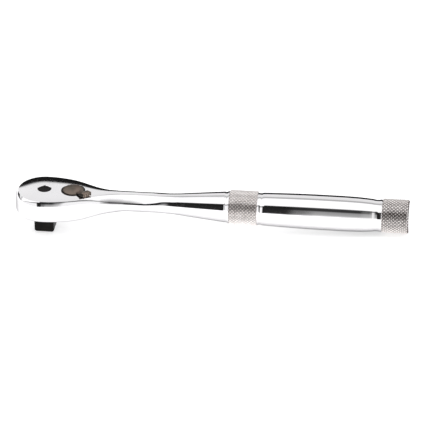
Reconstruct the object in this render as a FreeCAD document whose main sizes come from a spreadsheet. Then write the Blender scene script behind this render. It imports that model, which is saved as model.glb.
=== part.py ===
import FreeCAD, Part
import Sketcher
import math
import os

from FreeCAD import Placement, Rotation, Vector

# A reversible ratchet wrench with a pear head and a round handle, in millimetres.
# Origin: centre of the end face of the square drive. +Z is the drive axis, towards the
# reversing lever, and +X runs along the handle.

DOC = FreeCAD.newDocument("ratchet_wrench")

SIZES = {
    # head forging
    "head_radius": 14.0,
    "head_bottom": 10.1,
    "head_top": 21.5,
    # round handle, a turned shape about its own axis
    "handle_axis_height": 17.1,
    "handle_start": 66.0,
    "handle_start_radius": 5.35,
    "cone_end_radius": 7.5,
    "band_one_radius": 8.35,
    "band_two_radius": 8.25,
    "band_edge": 0.35,
    "cove_length": 1.5,
    "band_one_start": 90.2,
    "band_one_length": 13.4,
    "barrel_start_radius": 8.0,
    "barrel_radius": 8.5,
    "barrel_end_radius": 7.9,
    "band_two_start": 163.7,
    "handle_end": 176.3,
    "end_chamfer": 0.8,
    # gear with its journals and the square drive
    "tooth_count": 36,
    "gear_tip_radius": 8.9,
    "gear_root_radius": 8.15,
    "gap_root_width": 0.36,
    "tooth_tip_width": 0.4,
    "gear_bottom": 12.0,
    "gear_top": 17.2,
    "lower_journal_radius": 6.9,
    "lower_journal_bottom": 9.9,
    "upper_journal_radius": 5.0,
    "upper_journal_top": 18.7,
    "square_side": 9.53,
    "square_corner_radius": 0.9,
    "square_end_chamfer": 0.8,
    # chamber inside the head
    "running_clearance": 0.06,
    "gear_chamber_radius": 9.2,
    "chamber_top": 17.3,
    # cover plate and its screws
    "plate_thickness": 1.4,
    "plate_radius": 12.2,
    "plate_nose_radius": 5.0,
    "plate_gap": 0.05,
    "screw_circle_radius": 10.75,
    "screw_spacing_angle": 75.0,
    "screw_shank_radius": 0.8,
    "screw_head_radius": 1.3,
    "screw_length": 5.0,
    "screw_end_chamfer": 0.3,
    "screw_slot_depth": 0.35,
    "screw_slot_width": 0.4,
    "washer_thickness": 0.4,
    "washer_radius": 8.0,
    "seal_wire_radius": 0.35,
    # release button, pin, ball and spring
    "button_radius": 3.05,
    "button_top": 21.9,
    "button_edge_height": 21.35,
    "button_flange_radius": 3.8,
    "button_flange_bottom": 17.7,
    "button_flange_top": 18.6,
    "button_travel": 2.4,
    "flange_bore_floor": 15.2,
    "spring_bore_radius": 2.9,
    "spring_bore_floor": 11.6,
    "pin_bore_radius": 2.0,
    "pin_bore_floor": 0.9,
    "pin_land_radius": 1.95,
    "pin_shank_radius": 1.14,
    "pin_bottom": 3.4,
    "pin_cone_start": 4.0,
    "pin_cone_slope": 0.29,
    "pin_top": 20.2,
    "ball_radius": 1.75,
    "ball_height": 4.6,
    "ball_gap": 0.03,
    "ball_lip_radius": 1.66,
    "ball_lip_depth": 0.46,
    "release_coil_radius": 2.35,
    "release_wire_radius": 0.25,
    # reversing lever on its shaft
    "lever_place": 14.0,
    "lever_rest_angle": -38.0,
    "lever_disc_radius": 5.05,
    "lever_recess_radius": 5.65,
    "lever_recess_floor": 19.8,
    "lever_disc_bottom": 19.9,
    "lever_disc_edge": 22.0,
    "lever_disc_top": 22.45,
    "lever_tab_width": 5.0,
    "shaft_radius": 2.6,
    "shaft_bottom": 11.65,
    "stub_radius": 1.5,
    "stub_bottom": 10.65,
    "ring_groove_radius": 2.15,
    "ring_bottom": 16.6,
    "ring_thickness": 0.5,
    "ring_radius": 3.5,
    "ring_mouth_width": 3.2,
    "o_ring_height": 18.4,
    "o_ring_wire_radius": 0.2,
    "detent_height": 14.1,
    "detent_hole_radius": 0.96,
    "detent_hole_floor": -2.0,
    "detent_spring_seat": -1.6,
    "detent_ball_radius": 0.9,
    "detent_ball_reach": 3.1,
    "detent_coil_radius": 0.6,
    "detent_wire_radius": 0.15,
    # pawl
    "pawl_bottom": 11.75,
    "pawl_top": 16.45,
    "pawl_back_radius": 3.95,
    "pawl_rock": 3.8,
    "pawl_inner_radius": 9.95,
    "pawl_outer_radius": 10.6,
    "pawl_tooth_gap": 0.1,
    "pawl_window_radius": 3.3,
    "pawl_window_half_angle": 62.0,
    "chamber_gap": 0.3,
}


def make_sheet():
    """Put every driving dimension in one spreadsheet, each under its own alias."""
    page = DOC.addObject("Spreadsheet::Sheet", "sizes")
    for row, (alias, value) in enumerate(SIZES.items(), start=1):
        page.set(f"A{row}", alias)
        page.set(f"B{row}", str(value))
        page.setAlias(f"B{row}", alias)
    DOC.recompute()
    return page


SHEET = make_sheet()
SUBPARTS = []


def size(alias):
    """The value of one driving dimension."""
    return float(getattr(SHEET, alias))


def polar(radius, degrees, centre=(0.0, 0.0)):
    angle = math.radians(degrees)
    return (centre[0] + radius * math.cos(angle), centre[1] + radius * math.sin(angle))


def turned(point, degrees, centre=(0.0, 0.0)):
    """A plan point turned about a centre."""
    angle = math.radians(degrees)
    dx = point[0] - centre[0]
    dy = point[1] - centre[1]
    return (
        centre[0] + dx * math.cos(angle) - dy * math.sin(angle),
        centre[1] + dx * math.sin(angle) + dy * math.cos(angle),
    )


def keep(item, label):
    """Register a finished sub-part under the name of its node."""
    item.Label = label
    SUBPARTS.append(item)
    return item


# ---------------------------------------------------------------- sketch helpers

def new_body(name):
    return DOC.addObject("PartDesign::Body", name)


def new_sketch(body, name, plane="XY_Plane", offset=0.0):
    """A sketch on one of the body's origin planes, moved along that plane's normal."""
    sketch = body.newObject("Sketcher::SketchObject", name)
    origin_plane = [item for item in body.Origin.OriginFeatures if item.Role == plane][0]
    sketch.AttachmentSupport = [(origin_plane, "")]
    sketch.MapMode = "FlatFace"
    sketch.AttachmentOffset = Placement(Vector(0, 0, offset), Rotation())
    return sketch


def add_circle(sketch, formula, centre=(0.0, 0.0)):
    """A circle whose radius follows a formula of the sheet's cells."""
    place = Vector(centre[0], centre[1], 0)
    circle = sketch.addGeometry(Part.Circle(place, Vector(0, 0, 1), 1.0))
    limit = sketch.addConstraint(Sketcher.Constraint("Radius", circle, 1.0))
    sketch.setExpression(f"Constraints[{limit}]", formula)
    sketch.recompute()
    return circle


def add_polygon(sketch, points):
    """A closed outline of straight lines through plan points."""
    for start, end in zip(points, points[1:] + points[:1]):
        sketch.addGeometry(Part.LineSegment(Vector(*start, 0), Vector(*end, 0)))


def add_arc(sketch, start, middle, end):
    sketch.addGeometry(Part.Arc(Vector(*start, 0), Vector(*middle, 0), Vector(*end, 0)))


def add_line(sketch, start, end):
    sketch.addGeometry(Part.LineSegment(Vector(*start, 0), Vector(*end, 0)))


def add_curve(sketch, points):
    """A smooth curve through plan points."""
    curve = Part.BSplineCurve()
    curve.interpolate([Vector(*point, 0) for point in points])
    sketch.addGeometry(curve)


def pad(body, sketch, formula, midplane=False):
    """Raise a sketch by a length that the sheet drives."""
    feature = body.newObject("PartDesign::Pad", sketch.Name + "_raised")
    feature.Profile = sketch
    feature.SideType = "Symmetric" if midplane else "One side"
    feature.setExpression("Length", formula)
    return feature


def pocket(body, sketch, formula, midplane=False):
    """Cut against the sketch's normal by a length that the sheet drives."""
    feature = body.newObject("PartDesign::Pocket", sketch.Name + "_cut")
    feature.Profile = sketch
    feature.SideType = "Symmetric" if midplane else "One side"
    feature.setExpression("Length", formula)
    return feature


def revolve(body, sketch, axis="V_Axis", angle=360.0):
    feature = body.newObject("PartDesign::Revolution", sketch.Name + "_turned")
    feature.Profile = sketch
    feature.ReferenceAxis = (sketch, [axis])
    feature.Angle = angle
    return feature


def bore(body, name, radius, top, bottom, centre=(0.0, 0.0)):
    """A round vertical hole from one height down to another, each a formula of the sheet."""
    sketch = new_sketch(body, name)
    sketch.setExpression("AttachmentOffset.Base.z", top)
    add_circle(sketch, radius, centre)
    return pocket(body, sketch, f"({top}) - ({bottom})")


def disc(body, name, radius, bottom, top, centre=(0.0, 0.0)):
    """A round vertical boss between two heights, each a formula of the sheet."""
    sketch = new_sketch(body, name)
    sketch.setExpression("AttachmentOffset.Base.z", bottom)
    add_circle(sketch, radius, centre)
    return pad(body, sketch, f"({top}) - ({bottom})")


def turned_body(name, points):
    """A solid turned about Z from a half profile of (radius, height) points."""
    body = new_body(name + "_body")
    sketch = new_sketch(body, name + "_profile", "XZ_Plane")
    add_polygon(sketch, points)
    revolve(body, sketch)
    return body


def dress_edges(body, kind, radius, wanted):
    """Fillet or chamfer those edges of the body that a test picks out."""
    DOC.recompute()
    base = body.Tip
    names = [
        f"Edge{number}"
        for number, edge in enumerate(base.Shape.Edges, start=1)
        if wanted(edge)
    ]
    feature = body.newObject(f"PartDesign::{kind}", f"{base.Name}_{kind.lower()}")
    feature.Base = (base, names)
    feature.setExpression("Radius" if kind == "Fillet" else "Size", radius)
    return feature


# ---------------------------------------------------------------- handle and head

# Stations of the pear head and neck: place along X, half width, underside, top, tilt of the
# facet beside the top face, length of that facet, radius of the shoulder below it, radius
# of the bottom edges.
NECK_STATIONS = [
    (0.0, 14.0, 10.1, 21.5, 50.0, 0.4, 4.6, 1.9),
    (3.0, 13.9, 10.1, 21.5, 50.0, 0.4, 4.6, 1.9),
    (6.0, 13.6, 10.1, 21.5, 50.0, 0.4, 4.6, 1.9),
    (9.0, 13.05, 10.1, 21.5, 50.0, 0.4, 4.6, 1.9),
    (12.0, 12.3, 10.1, 21.5, 50.0, 0.4, 4.6, 1.9),
    (15.0, 11.3, 10.1, 21.5, 50.0, 0.5, 4.6, 1.9),
    (18.0, 10.0, 10.1, 21.5, 50.0, 0.7, 4.4, 2.0),
    (21.0, 8.65, 10.3, 21.5, 49.0, 1.1, 4.1, 2.2),
    (24.0, 7.45, 10.6, 21.52, 48.0, 1.7, 3.6, 2.6),
    (28.0, 6.3, 11.2, 21.6, 47.0, 2.7, 2.8, 3.2),
    (33.0, 5.6, 11.9, 21.75, 47.0, 3.6, 2.1, 3.7),
    (40.0, 5.25, 12.85, 21.9, 47.0, 3.9, 1.7, 3.9),
    (48.0, 5.2, 12.95, 21.95, 46.0, 3.9, 1.7, 3.9),
    (54.0, 5.2, 12.9, 22.0, 42.0, 3.0, 2.4, 4.0),
    (60.0, 5.2, 12.4, 22.1, 26.0, 1.2, 4.0, 4.4),
    (66.0, 5.2, 11.9, 22.3, 8.0, 0.3, 4.8, 4.9),
]


def shoulder_points(half_width, high, tilt, facet, radius):
    """Start, middle and end of the shoulder, from the side wall up, and the facet's top end."""
    slope = math.radians(tilt)
    rise = facet * math.sin(slope) + radius * math.cos(slope)
    centre = (half_width - radius, high - rise)
    arc = [polar(radius, turn, centre) for turn in (0, (90 - tilt) / 2, 90 - tilt)]
    return arc, (arc[2][0] - facet * math.cos(slope), high)


def edge_points(half_width, low, radius):
    """Start, middle and end of a bottom edge, from the underside up to the side wall."""
    return [polar(radius, turn, (half_width - radius, low + radius)) for turn in (270, 315, 360)]


def mirrored(points):
    """Points reflected across the vertical axis, in the opposite order."""
    return [(-x, y) for x, y in points[::-1]]


def head_section(sketch, half_width, low, high, tilt, facet, top_radius, low_radius):
    """A section on the YZ plane with facets and shoulders above and round edges below."""
    shoulder, crest = shoulder_points(half_width, high, tilt, facet, top_radius)
    edge = edge_points(half_width, low, low_radius)
    far_crest = (-crest[0], crest[1])
    far_shoulder = mirrored(shoulder)
    far_edge = mirrored(edge)
    add_arc(sketch, *shoulder)
    add_line(sketch, shoulder[2], crest)
    add_line(sketch, crest, far_crest)
    add_line(sketch, far_crest, far_shoulder[0])
    add_arc(sketch, *far_shoulder)
    add_line(sketch, far_shoulder[2], far_edge[0])
    add_arc(sketch, *far_edge)
    add_line(sketch, far_edge[2], edge[0])
    add_arc(sketch, *edge)
    add_line(sketch, edge[2], shoulder[0])


def neck_loft(body):
    sections = []
    for number, (place, *shape) in enumerate(NECK_STATIONS):
        sketch = new_sketch(body, f"neck_section_{number}", "YZ_Plane", place)
        head_section(sketch, *shape)
        sections.append(sketch)
    loft = body.newObject("PartDesign::AdditiveLoft", "neck_loft")
    loft.Profile = sections[0]
    loft.Sections = sections[1:]
    return loft


def head_front(body):
    """The round front half of the head, turned about the drive axis."""
    radius, low, high, tilt, facet, top_radius, low_radius = NECK_STATIONS[0][1:]
    sketch = new_sketch(body, "head_profile", "YZ_Plane")
    shoulder, crest = shoulder_points(radius, high, tilt, facet, top_radius)
    edge = edge_points(radius, low, low_radius)
    add_line(sketch, (0, low), edge[0])
    add_arc(sketch, *edge)
    add_line(sketch, edge[2], shoulder[0])
    add_arc(sketch, *shoulder)
    add_line(sketch, shoulder[2], crest)
    add_line(sketch, crest, (0, high))
    add_line(sketch, (0, high), (0, low))
    return revolve(body, sketch, angle=180.0)


# Radii of the handle between its named ones: along the cone from its start, and along the
# barrel from its middle.
CONE_RADII = [(4.0, 5.85), (10.0, 6.4), (16.0, 6.9)]
BARREL_FRONT = (-14.0, 8.42)
BARREL_REAR = 12.0


def handle_bar(body):
    """The turned handle: a cone, a knurl band, a barrel and a second knurl band."""
    start = size("handle_start")
    one_start = size("band_one_start")
    one_end = one_start + size("band_one_length")
    two_start = size("band_two_start")
    end = size("handle_end")
    edge = size("band_edge")
    chamfer = size("end_chamfer")
    one = size("band_one_radius")
    two = size("band_two_radius")
    cone_end = size("cone_end_radius")
    barrel_start = size("barrel_start_radius")
    barrel_end = size("barrel_end_radius")
    barrel = size("barrel_radius")
    cove = size("cove_length")
    middle = (one_end + two_start) / 2
    sketch = new_sketch(body, "handle_profile", "XZ_Plane")
    sketch.setExpression("AttachmentOffset.Base.y", "sizes.handle_axis_height")
    cone = [(start, size("handle_start_radius"))]
    cone += [(start + place, radius) for place, radius in CONE_RADII]
    cone += [(one_start - cove, cone_end)]
    body_curve = [
        (one_end + cove, barrel_start),
        (middle + BARREL_FRONT[0], BARREL_FRONT[1]),
        (middle, barrel),
        (middle + BARREL_REAR, barrel),
        (two_start - 3 * cove, barrel_end),
    ]
    add_line(sketch, (start, 0), cone[0])
    add_curve(sketch, cone)
    add_line(sketch, cone[-1], (one_start, one - edge))
    add_line(sketch, (one_start, one - edge), (one_start + edge, one))
    add_line(sketch, (one_start + edge, one), (one_end - edge, one))
    add_line(sketch, (one_end - edge, one), (one_end, one - edge))
    add_line(sketch, (one_end, one - edge), body_curve[0])
    add_curve(sketch, body_curve)
    add_line(sketch, body_curve[-1], (two_start, two - edge))
    add_line(sketch, (two_start, two - edge), (two_start + edge, two))
    add_line(sketch, (two_start + edge, two), (end - chamfer, two))
    add_line(sketch, (end - chamfer, two), (end, two - chamfer))
    add_line(sketch, (end, two - chamfer), (end, 0))
    add_line(sketch, (end, 0), (start, 0))
    return revolve(body, sketch, axis="H_Axis")


def add_teardrop(sketch, gap):
    """Outline of the cover plate: two circles joined by their tangents, grown by a gap."""
    big = size("plate_radius") + gap
    small = size("plate_nose_radius") + gap
    place = size("lever_place")
    lean = math.degrees(math.acos((big - small) / place))
    upper = [polar(big, lean), polar(small, lean, (place, 0))]
    lower = [polar(big, -lean), polar(small, -lean, (place, 0))]
    add_arc(sketch, upper[0], (-big, 0), lower[0])
    add_line(sketch, lower[0], lower[1])
    add_arc(sketch, lower[1], (place + small, 0), upper[1])
    add_line(sketch, upper[1], upper[0])


def tangent_touch(point, centre, radius):
    """Where the tangent from a point touches a circle, on the side away from the gear."""
    dx = point[0] - centre[0]
    dy = point[1] - centre[1]
    lean = math.degrees(math.acos(radius / math.hypot(dx, dy)))
    heading = math.degrees(math.atan2(dy, dx))
    return polar(radius, heading - lean, centre)


PAWL_PAD_START = 34.0
PAWL_PAD_END = 54.0
PAWL_TOOTH_ANGLES = (40.0, 50.0)


def pivot():
    return (size("lever_place"), 0.0)


def pawl_chamber(body):
    """Room for the pawl to rock beside the gear, open to the gear chamber."""
    gap = size("chamber_gap")
    reach = size("pawl_outer_radius")
    radius = size("pawl_back_radius") + gap
    corner = turned(polar(reach + gap, PAWL_PAD_END), -2 * size("pawl_rock"), pivot())
    outline = [
        polar(size("gear_root_radius"), PAWL_PAD_END + 4),
        polar(reach + gap, PAWL_PAD_END + 4),
        corner,
        tangent_touch(corner, pivot(), radius),
    ]
    far_side = [(x, -y) for x, y in outline]
    sketch = new_sketch(body, "pawl_chamber", offset=size("chamber_top"))
    for start, end in zip(outline, outline[1:]):
        add_line(sketch, start, end)
    add_arc(sketch, outline[-1], (pivot()[0] + radius, 0), far_side[-1])
    for start, end in zip(far_side[::-1], far_side[-2::-1]):
        add_line(sketch, start, end)
    add_line(sketch, far_side[0], outline[0])
    return pocket(body, sketch, "sizes.chamber_top - sizes.head_bottom - sizes.plate_thickness")


def screw_places():
    """Plan positions of the plate screws, spread about the rear of the plate."""
    spacing = size("screw_spacing_angle")
    return [polar(size("screw_circle_radius"), 180 + step * spacing) for step in (-1, 0, 1)]


PLATE_TOP = "sizes.head_bottom + sizes.plate_thickness"


def make_handle_body():
    body = new_body("handle_forging")
    neck_loft(body)
    head_front(body)
    handle_bar(body)
    recess = new_sketch(body, "plate_recess")
    recess.setExpression("AttachmentOffset.Base.z", PLATE_TOP)
    add_teardrop(recess, size("plate_gap"))
    pocket(body, recess, "sizes.plate_thickness + 1")
    pawl_chamber(body)
    lever_centre = pivot()
    clearance = "sizes.running_clearance"
    bore(body, "gear_chamber", "sizes.gear_chamber_radius", "sizes.chamber_top", PLATE_TOP)
    bore(body, "journal_bore", f"sizes.upper_journal_radius + {clearance}",
         "sizes.upper_journal_top + 0.1", "sizes.chamber_top - 0.5")
    bore(body, "button_hole", "sizes.button_radius + 0.1",
         "sizes.head_top + 1", "sizes.upper_journal_top - 0.5")
    bore(body, "lever_recess", "sizes.lever_recess_radius",
         "sizes.head_top + 1", "sizes.lever_recess_floor", lever_centre)
    bore(body, "shaft_bore", f"sizes.shaft_radius + {clearance}",
         "sizes.lever_recess_floor + 0.5", "sizes.chamber_top - 0.5", lever_centre)
    for number, place in enumerate(screw_places(), start=1):
        bore(body, f"screw_hole_{number}", "sizes.screw_shank_radius + 0.01",
             "sizes.head_bottom + sizes.screw_length + 0.3", PLATE_TOP, place)
    return keep(body, "handle_body")


# ---------------------------------------------------------------- cover plate and its screws

def make_cover_plate():
    body = new_body("plate")
    outline = new_sketch(body, "plate_outline")
    outline.setExpression("AttachmentOffset.Base.z", "sizes.head_bottom")
    add_teardrop(outline, 0.0)
    pad(body, outline, "sizes.plate_thickness")
    bore(body, "plate_journal_bore", "sizes.lower_journal_radius + sizes.running_clearance",
         PLATE_TOP, "sizes.head_bottom - 1")
    bore(body, "seal_groove", "sizes.lower_journal_radius + 2 * sizes.seal_wire_radius + 0.1",
         PLATE_TOP, f"{PLATE_TOP} - 2 * sizes.seal_wire_radius - 0.15")
    bore(body, "stub_socket", "sizes.stub_radius + sizes.running_clearance",
         PLATE_TOP, "sizes.stub_bottom - 0.1", pivot())
    for number, place in enumerate(screw_places(), start=1):
        bore(body, f"plate_screw_hole_{number}", "sizes.screw_shank_radius + 0.05",
             PLATE_TOP, "sizes.head_bottom - 1", place)
    hole_radius = size("screw_shank_radius") + 0.05
    low = size("head_bottom")
    dress_edges(
        body,
        "Chamfer",
        "sizes.screw_head_radius - sizes.screw_shank_radius",
        lambda edge: hasattr(edge.Curve, "Radius")
        and abs(edge.Curve.Radius - hole_radius) < 1e-6
        and abs(edge.BoundBox.ZMax - low) < 1e-6,
    )
    return keep(body, "cover_plate")


def make_cover_screw(number, place):
    """A countersunk screw with a straight slot, driven up into the head."""
    head = size("screw_head_radius")
    shank = size("screw_shank_radius")
    length = size("screw_length")
    chamfer = size("screw_end_chamfer")
    body = turned_body(
        f"screw_{number}",
        [
            (0, 0), (head, 0), (shank, head - shank), (shank, length - chamfer),
            (shank - chamfer, length), (0, length),
        ],
    )
    slot = new_sketch(body, f"screw_slot_{number}", offset=size("screw_slot_depth"))
    half_slot = size("screw_slot_width") / 2
    add_polygon(slot, [(-head, -half_slot), (head, -half_slot), (head, half_slot), (-head, half_slot)])
    pocket(body, slot, "1")
    body.Placement = Placement(Vector(place[0], place[1], size("head_bottom")), Rotation())
    return keep(body, f"cover_screw_{number}")


def make_thrust_washer():
    body = new_body("washer")
    top = "sizes.gear_bottom - 0.05"
    disc(body, "washer_disc", "sizes.washer_radius", f"{top} - sizes.washer_thickness", top)
    bore(body, "washer_hole", "sizes.lower_journal_radius + 0.1", top, "sizes.head_bottom")
    return keep(body, "thrust_washer")


# ---------------------------------------------------------------- gear and square drive

def gear_tooth_gap(body):
    """One gap between two teeth, cut from above and repeated round the gear."""
    tip = size("gear_tip_radius")
    root = size("gear_root_radius")
    root_half, tip_half = gap_half_widths()
    beyond = 0.4
    slope = (tip_half - root_half) / (tip - root)
    outer_half = tip_half + slope * beyond
    gap = new_sketch(body, "tooth_gap", offset=size("gear_top") + 0.1)
    add_polygon(
        gap,
        [(root, -root_half), (tip + beyond, -outer_half), (tip + beyond, outer_half), (root, root_half)],
    )
    cut = pocket(body, gap, "sizes.gear_top - sizes.gear_bottom + 0.2")
    pattern = body.newObject("PartDesign::PolarPattern", "teeth")
    pattern.Originals = [cut]
    z_axis = [item for item in body.Origin.OriginFeatures if item.Role == "Z_Axis"][0]
    pattern.Axis = (z_axis, [""])
    pattern.Angle = 360
    pattern.setExpression("Occurrences", "sizes.tooth_count")
    body.Tip = pattern
    return pattern


def gap_half_widths():
    """Half the width of a tooth gap at the root and at the tips."""
    pitch = 2 * math.pi * size("gear_tip_radius") / size("tooth_count")
    return size("gap_root_width") / 2, (pitch - size("tooth_tip_width")) / 2


def make_drive_gear():
    body = new_body("gear")
    disc(body, "gear_blank", "sizes.gear_tip_radius", "sizes.gear_bottom", "sizes.gear_top")
    gear_tooth_gap(body)
    disc(body, "upper_journal", "sizes.upper_journal_radius",
         "sizes.gear_top - 0.5", "sizes.upper_journal_top")
    disc(body, "lower_journal", "sizes.lower_journal_radius",
         "sizes.lower_journal_bottom", "sizes.gear_bottom + 0.5")
    square = new_sketch(body, "drive_square")
    half = size("square_side") / 2
    add_polygon(square, [(-half, -half), (half, -half), (half, half), (-half, half)])
    pad(body, square, "sizes.lower_journal_bottom + 0.5")
    dress_edges(
        body,
        "Fillet",
        "sizes.square_corner_radius",
        lambda edge: edge.BoundBox.ZLength > 5 and abs(abs(edge.CenterOfMass.x) - half) < 1e-6
        and abs(abs(edge.CenterOfMass.y) - half) < 1e-6,
    )
    dress_edges(
        body, "Chamfer", "sizes.square_end_chamfer", lambda edge: edge.BoundBox.ZMax < 1e-6
    )
    bore(body, "flange_bore", "sizes.button_flange_radius + 0.1",
         "sizes.upper_journal_top + 0.5", "sizes.flange_bore_floor")
    bore(body, "spring_bore", "sizes.spring_bore_radius",
         "sizes.flange_bore_floor + 0.5", "sizes.spring_bore_floor")
    bore(body, "pin_bore", "sizes.pin_bore_radius",
         "sizes.spring_bore_floor + 0.5", "sizes.pin_bore_floor")
    ball_hole = new_sketch(body, "ball_hole", "XZ_Plane")
    add_circle(ball_hole, "sizes.ball_radius + sizes.ball_gap", (0, size("ball_height")))
    pocket(body, ball_hole, "sizes.square_side / 2 - sizes.ball_lip_depth")
    lip = new_sketch(body, "ball_lip", "XZ_Plane")
    add_circle(lip, "sizes.ball_lip_radius", (0, size("ball_height")))
    pocket(body, lip, "sizes.square_side / 2 + 1")
    return keep(body, "drive_gear")


def make_seal_ring():
    """The O-ring that keeps dirt out between the cover plate and the gear's journal."""
    wire = size("seal_wire_radius")
    ring = DOC.addObject("Part::Torus", "seal_ring")
    ring.setExpression("Radius1", "sizes.lower_journal_radius + sizes.seal_wire_radius + 0.05")
    ring.setExpression("Radius2", "sizes.seal_wire_radius")
    groove_middle = size("head_bottom") + size("plate_thickness") - wire - 0.1
    ring.Placement = Placement(Vector(0, 0, groove_middle), Rotation())
    return keep(ring, "drive_seal_ring")


# ---------------------------------------------------------------- release button, pin and ball

def make_release_button():
    radius = size("button_radius")
    flange = size("button_flange_radius")
    bottom = size("button_flange_bottom")
    flange_top = size("button_flange_top")
    edge = size("button_edge_height")
    top = size("button_top")
    socket = size("pin_shank_radius")
    socket_top = size("pin_top")
    body = new_body("button")
    sketch = new_sketch(body, "button_profile", "XZ_Plane")
    points = [
        (0, socket_top), (socket, socket_top), (socket, bottom), (flange, bottom),
        (flange, flange_top), (radius, flange_top), (radius, edge),
    ]
    for start, end in zip(points, points[1:]):
        add_line(sketch, start, end)
    rise = top - edge
    dome_radius = (radius**2 + rise**2) / (2 * rise)
    half_angle = math.degrees(math.asin(radius / dome_radius))
    centre = (0, top - dome_radius)
    dome = [polar(dome_radius, 90 - turn, centre) for turn in (half_angle, half_angle / 2, 0)]
    add_arc(sketch, *dome)
    add_line(sketch, dome[2], points[0])
    revolve(body, sketch)
    return keep(body, "release_button")


def make_release_pin():
    """The pin whose cone lets the ball sink as the button goes down."""
    land = size("pin_land_radius")
    shank = size("pin_shank_radius")
    cone_start = size("pin_cone_start")
    cone_end = cone_start + (land - shank) / size("pin_cone_slope")
    bottom = size("pin_bottom")
    body = turned_body(
        "pin",
        [
            (0, bottom), (land - 0.2, bottom), (land, bottom + 0.2), (land, cone_start),
            (shank, cone_end), (shank, size("pin_top")), (0, size("pin_top")),
        ],
    )
    return keep(body, "release_pin")


def ball_rest_place():
    """How far the retaining ball's centre stands from the drive axis, touching the cone."""
    slope = size("pin_cone_slope")
    across = 1 / math.hypot(1, slope)
    along = slope * across
    above = size("ball_height") - size("pin_cone_start")
    stand_off = size("ball_radius") + size("ball_gap")
    return size("pin_land_radius") + (stand_off - above * along) / across


def make_retaining_ball():
    ball = DOC.addObject("Part::Sphere", "ball")
    ball.setExpression("Radius", "sizes.ball_radius")
    ball.Placement = Placement(Vector(0, ball_rest_place(), size("ball_height")), Rotation())
    return keep(ball, "retaining_ball")


def make_spring(name, coil_radius, wire_radius, length, coils):
    """A round wire swept along a helix; the spring stands on its local XY plane."""
    helix = DOC.addObject("Part::Helix", name + "_helix")
    helix.Radius = size(coil_radius)
    helix.Height = length - 2 * size(wire_radius)
    helix.Pitch = helix.Height / coils
    wire = DOC.addObject("Part::Circle", name + "_wire")
    wire.setExpression("Radius", f"sizes.{wire_radius}")
    wire.Placement = Placement(Vector(size(coil_radius), 0, 0), Rotation(Vector(1, 0, 0), 90))
    DOC.recompute()
    sweep = DOC.addObject("Part::Sweep", name)
    sweep.Sections = [wire]
    sweep.Spine = (helix, [f"Edge{n + 1}" for n in range(len(helix.Shape.Edges))])
    sweep.Solid = True
    sweep.Frenet = True
    return sweep


def make_release_spring():
    gap = 0.05
    floor = size("spring_bore_floor") + gap
    length = size("button_flange_bottom") - gap - floor
    spring = make_spring("button_spring", "release_coil_radius", "release_wire_radius", length, 6)
    spring.Placement = Placement(Vector(0, 0, floor + size("release_wire_radius")), Rotation())
    return keep(spring, "release_spring")


# ---------------------------------------------------------------- reversing lever

def lever_placement():
    """The lever's own axes: +X towards its thumb tab, turned to its rest position."""
    turn = Rotation(Vector(0, 0, 1), size("lever_rest_angle"))
    return Placement(Vector(size("lever_place"), 0, 0), turn)


def make_reversing_lever():
    disc_radius = size("lever_disc_radius")
    shaft = size("shaft_radius")
    ring_low = size("ring_bottom") - 0.05
    ring_high = size("ring_bottom") + size("ring_thickness") + 0.05
    o_ring = size("o_ring_height")
    o_half = size("o_ring_wire_radius") + 0.1
    groove = size("ring_groove_radius")
    low = size("lever_disc_bottom")
    edge = size("lever_disc_edge")
    top = size("lever_disc_top")
    body = new_body("lever")
    sketch = new_sketch(body, "lever_profile", "XZ_Plane")
    points = [
        (0, size("stub_bottom")), (size("stub_radius"), size("stub_bottom")),
        (size("stub_radius"), size("shaft_bottom")), (shaft, size("shaft_bottom")),
        (shaft, ring_low), (groove, ring_low), (groove, ring_high), (shaft, ring_high),
        (shaft, o_ring - o_half), (groove, o_ring - o_half), (groove, o_ring + o_half),
        (shaft, o_ring + o_half), (shaft, low), (disc_radius, low), (disc_radius, edge),
    ]
    for start, end in zip(points, points[1:]):
        add_line(sketch, start, end)
    rise = top - edge
    dome_radius = (disc_radius**2 + rise**2) / (2 * rise)
    half_angle = math.degrees(math.asin(disc_radius / dome_radius))
    dome = [
        polar(dome_radius, 90 - turn, (0, top - dome_radius))
        for turn in (half_angle, half_angle / 2, 0)
    ]
    add_arc(sketch, *dome)
    add_line(sketch, dome[2], points[0])
    revolve(body, sketch)
    tab = new_sketch(body, "lever_tab", "XZ_Plane")
    lift = size("head_top") + 0.15
    add_polygon(
        tab,
        [
            (3.6, low + 0.4), (4.6, low + 0.4), (4.75, lift), (9.9, lift + 0.15),
            (10.4, lift + 2.0), (9.8, lift + 2.3), (8.9, lift + 1.9), (7.0, lift + 1.0), (3.6, top - 0.2),
        ],
    )
    pad(body, tab, "sizes.lever_tab_width", midplane=True)
    hole = new_sketch(body, "detent_hole", "YZ_Plane", shaft + 1)
    add_circle(hole, "sizes.detent_hole_radius", (0, size("detent_height")))
    pocket(body, hole, "sizes.shaft_radius + 1 - sizes.detent_hole_floor")
    body.Placement = lever_placement()
    return keep(body, "reversing_lever")


def on_lever(item, label, place):
    """Put a piece at a place in the lever's own axes."""
    item.Placement = lever_placement().multiply(place)
    return keep(item, label)


def make_lever_o_ring():
    ring = DOC.addObject("Part::Torus", "o_ring")
    ring.setExpression("Radius1", "sizes.ring_groove_radius + sizes.o_ring_wire_radius + 0.04")
    ring.setExpression("Radius2", "sizes.o_ring_wire_radius")
    return on_lever(ring, "lever_o_ring", Placement(Vector(0, 0, size("o_ring_height")), Rotation()))


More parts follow.
